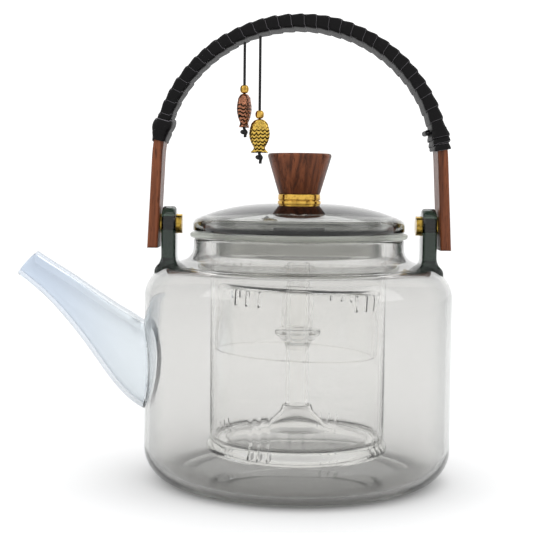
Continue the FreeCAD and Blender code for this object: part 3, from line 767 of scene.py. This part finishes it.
def pot_body():
    """Blown body with a flat base, a round shoulder and a short neck."""
    inside = [
        (45.7, SHOULDER_Z - SHOULDER_DEEP + 24.3 * SLOPE, 8.2),
        (67.8, SHOULDER_Z - SHOULDER_DEEP + 2.2 * SLOPE, 12.8),
        (67.8, 2.7, 12.8),
        (30, 3.3, 200),
        (0, 3.8),
    ]
    mouth = [(47.9, 109.84, 1.08), (45.7, 109.84, 1.08)]
    pot = lathe("pot_body", [*pot_outline(), *mouth, *inside], 128)
    carve(pot, bar(18.0, (-60, 0, SPOUT_Z), (-80, 0, SPOUT_Z), 64))
    return finished(smooth(pot), "pot", "smoke_glass", smoke_glass(), "pot_body")


def pot_block(grown=0.0):
    """The outside of the pot as a solid, grown a hair outward, to fit other glass against."""
    corners = [(r + (grown if r else 0), z, *rest) for r, z, *rest in pot_outline()]
    return lathe("pot_block", [*corners, (47.9, 112), (0, 112)], 128)


def spout():
    """A curved horn fused to the wall, narrowing to a round mouth."""
    rings = [
        ((-60, 0, SPOUT_Z), (21.6, 21.6), -90),
        ((-69.0, 0, SPOUT_Z), (21.2, 21.2), -90),
        ((-71.4, 0, 51.7), (20.0, 20.0), -88),
        ((-75.5, 0, 54.6), (18.9, 18.9), -82),
        ((-80.0, 0, 58.8), (17.2, 17.2), -77),
        ((-84.7, 0, 63.2), (15.2, 15.2), -74.3),
        ((-91.2, 0, 69.9), (12.9, 12.9), -72),
        ((-97.6, 0, 76.3), (10.9, 10.9), -69.4),
        ((-104.2, 0, 82.5), (9.2, 9.2), -63),
        ((-110.6, 0, 88.1), (7.9, 7.9), -56.3),
        ((-117.6, 0, 93.2), (7.15, 7.15), -52),
        ((-124.0, 0, 97.7), (6.95, 6.95), -49.1),
    ]
    horn = loft("spout", rings, 40)
    modify(horn, "SUBSURF", levels=2, render_levels=2)
    modify(horn, "SOLIDIFY", thickness=2.0 * MM, offset=-1, use_even_offset=True)
    eased(horn, 0.7, 3)
    carve(horn, pot_block(grown=0.03))
    return finished(smooth(horn, 40), "pot", "blue_glass", spout_glass(), "spout")


def beside_pin(point):
    """How far a point lies from the pivot's axis, in millimetres."""
    return math.hypot(point.y / MM, point.z / MM - PIN_Z)


def lug_shape():
    """An upright ear with a round top, a spread foot and a pin hole, on the right side."""
    half_thick = LUG_THICK / 2
    half_wide = LUG_WIDE / 2
    hole = 3.17
    below_hole = 0.102
    above_hole = 0.12
    corner_angle = 0.87
    ear = block((LUG_THICK, LUG_WIDE, 22.84), (LUG_X, 0, 112.62))
    carve(ear, bar(hole, (40, 0, PIN_Z), (80, 0, PIN_Z)))
    edit(ear)
    for drop, flare in ((1.5, 0.3), (1.4, 0.9), (1.0, 1.8), (0.8, 2.8), (7, 2.8)):
        pick(
            ear,
            "FACE",
            lambda f: f.normal.z < -0.9 and f.calc_center_median().z < below_hole,
        )
        bpy.ops.mesh.extrude_region_move(TRANSFORM_OT_translate={"value": (0, 0, -drop * MM)})
        foot = bmesh.from_edit_mesh(ear.data)
        low = min(v.co.z for v in foot.verts)
        reach = max(v.co.y for v in foot.verts if v.co.z < low + 1e-6) / MM
        thicker = (half_thick + flare) / (half_thick + reach - half_wide)
        bpy.ops.transform.resize(
            value=(thicker, (half_wide + flare) / reach, 1),
            center_override=(LUG_X * MM, 0, low),
        )
    pick(ear, "EDGE", lambda e: runs(e, 0) and middle(e).z > above_hole)
    bpy.ops.mesh.bevel(offset=7.9 * MM, segments=14, affect="EDGES", profile=0.5)
    edit(sound(ear))
    pick(
        ear,
        "EDGE",
        lambda e: e.calc_face_angle(0) > corner_angle and beside_pin(middle(e)) > 3.6,
    )
    bpy.ops.mesh.bevel(offset=1.5 * MM, segments=5, affect="EDGES", profile=0.5)
    return carve(sound(ear), pot_block(grown=0.02))


def lugs():
    """The right lug, and its copy turned to the left side."""
    right = smooth(lug_shape())
    left = settle(copy_of(right), turn=(0, 0, 180))
    finish = lug_glass()
    finished(right, "pot", "dark_glass", finish, "lug_right")
    finished(left, "pot", "dark_glass", finish, "lug_left")


# ---- infuser: liner, riser and hood ----


def slots(radius, foot, turn, step, tall=7.6):
    """Four groups of three upright slots, as cutters."""
    cutters = []
    for group in range(4):
        for number in (-1, 0, 1):
            cutter = block((6, 1.0, tall), (radius, 0, foot + tall / 2))
            edit(cutter)
            pick(cutter, "EDGE", lambda e: runs(e, 0))
            bpy.ops.mesh.bevel(offset=0.45 * MM, segments=3, affect="EDGES")
            clear()
            cutters.append(settle(cutter, turn=(0, 0, turn + 90 * group + number * step)))
    return join("slots", cutters)


def liner():
    """A beaker with a wide flange, a bulged foot and a funnel-shaped floor, blown as one piece."""
    corners = [
        (5.2, 33.1, 0.4),
        (6.0, 29.6, 4.0),
        (13.6, 21.9, 9.0),
        (32.5, 17.4, 1.5),
        (37.0, 12.5, 1.2),
        (41.4, 12.5, 2.0),
        (41.4, 15.6, 3.0),
        (40.0, 18.4, 3.0),
        (40.0, 110.14, 0.8),
        (49.5, 110.14, 0.9),
        (49.5, 112.34, 0.9),
        (38.5, 112.34, 1.2),
        (38.5, 18.6, 2.0),
        (32.5, 18.9, 2.0),
        (14.3, 23.4, 9.0),
        (7.5, 30.2, 4.0),
        (6.7, 33.1, 0.4),
    ]
    beaker = lathe("liner", corners, 128)
    carve(beaker, slots(39.2, 14.3, -25, 6.4))
    return finished(smooth(beaker), "liner", "clear_glass", flange_glass(), "liner", "liner_floor")


def riser_tube():
    """The tube that hot water climbs, with a flared stop for the hood."""
    corners = [
        (3.7, 33.1, 0.5),
        (5.2, 33.1, 0.5),
        (5.2, 61.9, 6.0),
        (10.5, 66.4, 0.9),
        (10.5, 68.7, 1.0),
        (5.2, 68.7, 0.8),
        (5.2, 95.1, 0.7),
        (3.7, 95.1, 0.7),
    ]
    tube = lathe("riser_tube", corners, 64)
    return finished(tube, "liner", "clear_glass", infuser_glass(), "riser_tube")


def lean(ob):
    """Tilts a piece of the hood about a point half way up its sleeve, as it rests on the riser."""
    middle_z = 79.54
    degrees = 2.5
    tilt = math.radians(degrees)
    shift = (-middle_z * math.sin(tilt), 0, middle_z * (1 - math.cos(tilt)))
    return settle(ob, shift, (0, degrees, 0))


def hood():
    """The strainer's bell, open below, slotted near its top."""
    corners = [
        (7.2, 88.14),
        (35.6, 88.14, 1.4),
        (35.6, 57.94, 0.7),
        (37.2, 57.94, 0.7),
        (37.2, 89.74, 2.4),
        (7.2, 89.74),
    ]
    bell = lathe("hood", corners, 128)
    carve(bell, slots(36.4, 79.94, 52, 10))
    return finished(lean(smooth(bell)), "hood", "clear_glass", infuser_glass(), "hood")


def hood_sleeve():
    """The short tube in the hood that slides on the riser."""
    corners = [(6.0, 69.34, 0.5), (7.2, 69.34, 0.5), (7.2, 89.74, 0.5), (6.0, 89.74, 0.5)]
    sleeve = lathe("hood_sleeve", corners, 64)
    return finished(lean(sleeve), "hood", "clear_glass", infuser_glass(), "hood_sleeve")


# ---- lid and knob ----


def lid():
    """A shallow dome with a rolled rim and a small vent."""
    corners = [
        (2.4, 123.4),
        (20, 123.1, 80),
        (36.9, 120.2, 50),
        (43.8, 117.6, 3.0),
        (45.7, 112.64, 1.25),
        (48.3, 112.64, 1.25),
        (48.3, 118.0, 3.2),
        (37, 122.8, 60),
        (20, 125.7, 80),
        (9.8, 126.0),
        (2.4, 126.0),
    ]
    dome = lathe("lid", corners, 128)
    carve(dome, bar(1.75, (26, 0, 110), (26, 0, 135)))
    return finished(smooth(dome), "lid", "smoke_glass", lid_smoke_glass(), "lid")


def lid_skirt():
    """The ring under the lid that keeps it centred in the liner."""
    corners = [(36.0, 101.14, 0.8), (37.8, 101.14, 0.8), (37.8, 119.9), (36.0, 120.2)]
    skirt = lathe("lid_skirt", corners, 128)
    return finished(skirt, "lid", "smoke_glass", skirt_shaded_smoke_glass(), "lid_skirt")


def knob_collar():
    """Two polished brass bands with a groove between."""
    corners = [
        (2.4, 125.9),
        (9.9, 125.55, 0.25),
        (9.9, 127.0, 0.3),
        (9.25, 127.0, 0.15),
        (9.25, 127.4, 0.15),
        (9.75, 127.4, 0.3),
        (9.6, 129.99, 0.3),
        (2.4, 129.99),
    ]
    return finished(lathe("knob_collar", corners, 96), "lid", "brass", BRASS, "knob_collar")


def knob():
    """A turned walnut cone, wider at the top, with its edges eased."""
    corners = [
        (0, 141.1),
        (2.2, 141.1),
        (2.2, 130.02),
        (9.4, 130.02, 0.5),
        (14.5, 147.2, 1.2),
        (14.3, 148.49, 1.0),
        (7.0, 148.49, 4.0),
        (0, 148.3),
    ]
    grain = walnut("knob_walnut", (6, 14, 139), (9, 4, 0), (124, 70, 43), (72, 38, 22))
    return finished(lathe("knob", corners, 96), "lid", "walnut", grain, "knob")


# ---- handle ----

# The height of the arch's centre and the radius of its middle line.
ARCH_Z = 143.036
ARCH_MIDDLE = 64.205
# The wooden strip under the leather: half its thickness and half its width.
WOOD_HALVES = (2.41, 9.81)
# How far a turn stands off the wood along its width, from its first edge to its other edge: where
# across the width, and the share of its full lift.
OVERLAP = ((-0.49, 1.0), (-0.24, 0.95), (0.01, 0.35))
FOLD = ((-0.49, 0.35), (-0.24, 1.0), (0.01, 1.1), (0.26, 0.8))


def strap_turn(wide=7.0, lift=0.5, thick=0.5, profile=OVERLAP):
    """One flat turn of the leather strip round the wood: its first edge lies on the turn before
    it and the other on the wood. It is made where the arch's angle is 0, with the arch going up.
    The attribute cut_edge_highlight marks the edge that lies on top, which the leather paints pale:
    partly its cut edge and partly painted highlight."""
    half_thick, half_wide = WOOD_HALVES
    turn = block((2 * half_thick, 2 * half_wide, wide))
    edit(turn)
    pick(turn, "FACE", lambda f: abs(f.normal.z) > 0.9)
    bpy.ops.mesh.delete(type="FACE")
    pick(turn, "EDGE", lambda e: runs(e, 2))
    bpy.ops.mesh.bevel(offset=1.25 * MM, segments=3, affect="EDGES")
    pick(turn, "EDGE", lambda e: runs(e, 2))
    bpy.ops.mesh.subdivide(number_cuts=3)
    for share, part in profile:
        grow = lift * part
        pick(turn, "VERT", lambda v: abs(v.co.z / MM - share * wide) < wide * 0.04)
        bpy.ops.transform.resize(
            value=((half_thick + grow) / half_thick, (half_wide + grow) / half_wide, 1),
            center_override=(0, 0, share * wide * MM),
        )
    clear()
    modify(turn, "SOLIDIFY", thickness=thick * MM, offset=1, use_even_offset=True)
    eased(turn, 0.14, 1)
    modify(turn, "SUBSURF", levels=1, render_levels=1)
    sound(turn)
    # Marks the top edge for its pale line: partly the cut edge, partly painted highlight.
    cut_edge_highlight = turn.data.attributes.new("cut_edge_highlight", "FLOAT", "POINT")
    for vertex, value in zip(turn.data.vertices, cut_edge_highlight.data):
        value.value = 1.0 if vertex.co.z / MM < 0.3 - wide / 2 else 0.0
    return turn


def slanted(ob, outward, forward):
    """Moves a strap turn's outer, inner, front and back faces along the arch, so that it slants."""
    edit(ob)
    for axis, amount in ((0, outward), (1, -forward)):
        reach = max(vertex.co[axis] for vertex in ob.data.vertices) * 0.6
        for side in (-1, 1):
            pick(ob, "VERT", lambda v: v.co[axis] * side > reach)
            bpy.ops.transform.translate(value=(0, 0, side * amount * MM))
    clear()
    return ob


def along_arch(ob, angle, outward=0.0, forward=0.0, size=(1, 1, 1)):
    """Puts a strap turn made at the origin on the arch, at an angle from its right end."""
    settle(slanted(ob, outward, forward), (ARCH_MIDDLE, 0, 0), size=size)
    return settle(ob, (0, 0, ARCH_Z), (0, -angle, 0))


def wrap():
    """The leather strip, turn by turn from the right end to the left."""
    master = strap_turn()
    first, last, count = 11.5, 162.0, 31
    turns = []
    for number in range(count):
        share = number / (count - 1)
        angle = first + (last - first) * share + dice.uniform(-0.3, 0.3)
        size = (1 + dice.uniform(-0.03, 0.03), 1 + dice.uniform(-0.008, 0.008), 1)
        slant = 0.75 * share + dice.uniform(-0.12, 0.12)
        turns.append(along_arch(copy_of(master), angle, slant, dice.uniform(0.5, 1.0), size))
    bpy.data.objects.remove(master)
    return finished(smooth(join("wrap", turns), 50), "handle", "black_leather", LEATHER, "wrap")


def wrap_ends():
    """The doubled ends: three tight turns on the right, and a thick fold beside a narrow turn on
    the left."""
    narrow = strap_turn(4.2, 0.7, 0.7)
    right = [
        along_arch(copy_of(narrow), 8.6, 0.1, -0.3, (1.03, 1.01, 1)),
        along_arch(copy_of(narrow), 10.9, 0.3, 0.5, (1.1, 1.02, 1)),
        along_arch(copy_of(narrow), 13.2, 0.0, 0.6, (1.14, 1.03, 1)),
    ]
    band = join("wrap_band_right", right)
    finished(smooth(band, 50), "handle", "black_leather", LEATHER, "wrap_band_right")
    thick = strap_turn(5.4, 0.7, 0.9, FOLD)
    left = [
        along_arch(thick, 164.2, 0.6, 0.6, (1.12, 1.03, 1)),
        along_arch(narrow, 168.8, 0.4, -0.3, (1.02, 1.01, 1.2)),
    ]
    band = join("wrap_band_left", left)
    return finished(smooth(band, 50), "handle", "black_leather", LEATHER, "wrap_band_left")


def wrap_tail():
    """The strip's end, rolled up under the arch with its hollow facing the front."""
    corners = [(0.62, -7, 0.15), (1.25, -7, 0.15), (1.3, 7, 0.15), (0.68, 7, 0.15)]
    roll = lathe("wrap_tail", corners, 32)
    settle(roll, turn=(90, 0, 0))
    settle(roll, (59.3, 0, 0))
    settle(roll, (0, 0, ARCH_Z), (0, -14.8, 0))
    return finished(roll, "handle", "black_leather", LEATHER, "wrap_tail")


# ---- charms ----


def round_bead(metal):
    """A brass ball, drilled and eased at its hole."""
    low = CHARMS[metal]["bead"] - 1.83
    high = CHARMS[metal]["bead"] + 1.83
    corners = [(0.68, low, 0.2), (1.95, low, 1.7), (1.95, high, 1.7), (0.68, high, 0.2)]
    bead = lathe(f"bead_{metal}", corners, 48)
    settle(bead, (CHARMS[metal]["along"], CHARM_SIDE, 0))
    return finished(bead, f"charm_{metal}", "brass", BRASS, f"bead_{metal}")


FISH_LONG = 15.3
# The fish's outline: how far down its length, and its share of the full width and thickness.
FISH = (
    (0.0, 0.36, 0.5),
    (0.06, 0.58, 0.68),
    (0.12, 0.74, 0.8),
    (0.16, 0.84, 0.88),
    (0.18, 0.80, 0.84),
    (0.25, 0.90, 0.93),
    (0.42, 1.0, 1.0),
    (0.56, 0.94, 0.96),
    (0.68, 0.80, 0.87),
    (0.79, 0.60, 0.70),
    (0.84, 0.50, 0.58),
    (0.90, 0.60, 0.50),
    (0.95, 0.80, 0.46),
    (1.0, 0.92, 0.40),
)


def fish(metal, slot, finish):
    """A flat fish bead, nose up: gill ridge, full belly and a flared, notched tail."""
    spot = CHARMS[metal]
    half_wide, half_thick = 4.9, 2.75
    rings = [
        ((0, 0, -FISH_LONG * down), (half_wide * wide, half_thick * thick), 0)
        for down, wide, thick in FISH
    ]
    body = loft(f"fish_{metal}", rings, 24, ends=True)
    edit(body)
    pick(body, "VERT", lambda v: v.co.z < (0.1 - FISH_LONG) * MM and abs(v.co.x) < 1.9 * MM)
    bpy.ops.transform.translate(value=(0, 0, 1.0 * MM))
    clear()
    modify(body, "SUBSURF", levels=2, render_levels=2)
    for side in (-1, 1):
        clear()
        bpy.ops.mesh.primitive_torus_add(
            location=(1.5 * MM, side * 1.75 * MM, -2.1 * MM),
            rotation=(math.radians(90), 0, 0),
            major_radius=0.55 * MM,
            minor_radius=0.2 * MM,
            major_segments=20,
            minor_segments=8,
        )
        eye = settled_in_place(bpy.context.object)
        body = join(f"fish_{metal}", [body, eye])
    settle(body, (spot["along"], CHARM_SIDE, spot["nose"]), (0, 0, spot["turn"]))
    return finished(smooth(body, 45), f"charm_{metal}", slot, finish, f"fish_{metal}")


def knot(metal):
    """An overhand knot with its cut end sticking out aslant."""
    along, tail, end = (CHARMS[metal][key] for key in ("along", "tail", "end"))
    spread = 1.4
    way = [
        (0, 0, 0.4),
        (0, 0, -0.7),
        (0.75, 0.3, -1.5),
        (0.7, -0.7, -2.3),
        (-0.6, -0.8, -2.2),
        (-0.9, 0.3, -1.5),
        (-0.1, 0.9, -1.2),
        (0.8, 0.6, -2.0),
        (0.3, -0.1, -3.0),
        (0.35, -0.1, -(tail - end) + 0.5),
    ]
    points = [(along + spread * x, CHARM_SIDE + spread * y, tail + z) for x, y, z in way]
    ob = strand(f"knot_{metal}", 0.66, points, 8)
    alone(ob)
    bpy.ops.object.convert(target="MESH")
    tied = smooth(sound(bpy.context.object), 50)
    return finished(tied, f"charm_{metal}", "black_cord", CORD, f"knot_{metal}")


# ---- the whole teapot ----

camera()
studio()
BRASS = brass()
LEATHER = leather()
CORD = waxed_cord()
cords = {metal: charm_cord(metal) for metal in CHARMS}

pot_body()
spout()
lugs()
liner()
riser_tube()
hood()
hood_sleeve()
lid()
lid_skirt()
knob_collar()
knob()
wrap()
wrap_ends()
wrap_tail()

COPPER = charm_metal("copper", (164, 110, 84), (26, 26, 20), 167)
GOLD = charm_metal("gold", (214, 178, 84), (34, 22, 8), 156)
for metal, slot, finish in (("copper", "aged_copper", COPPER), ("gold", "brass", GOLD)):
    on_cord = [round_bead(metal), fish(metal, slot, finish), knot(metal)]

PIVOT_BRASS = brass("aged_brass", (176, 146, 66), (92, 70, 28))
HANDLE_WALNUT = walnut("handle_walnut", (0, 0, 110))
SILICONE = silicone()
STEEL = steel()
# The pieces that keep the mesh they came with, and their finishes.
CARRIED = {
    "handle_strip": HANDLE_WALNUT,
    "lug_sleeve_left": SILICONE,
    "lug_sleeve_right": SILICONE,
    "lid_gasket": SILICONE,
    "lid_plate": STEEL,
    "knob_screw": STEEL,
}
for side in ("left", "right"):
    for part in ("pivot_screw", "leg_washer", "nut_washer", "pivot_nut"):
        CARRIED[f"{part}_{side}"] = PIVOT_BRASS
for node, finish in CARRIED.items():
    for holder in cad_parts[node].material_slots:
        holder.material = finish

clear()
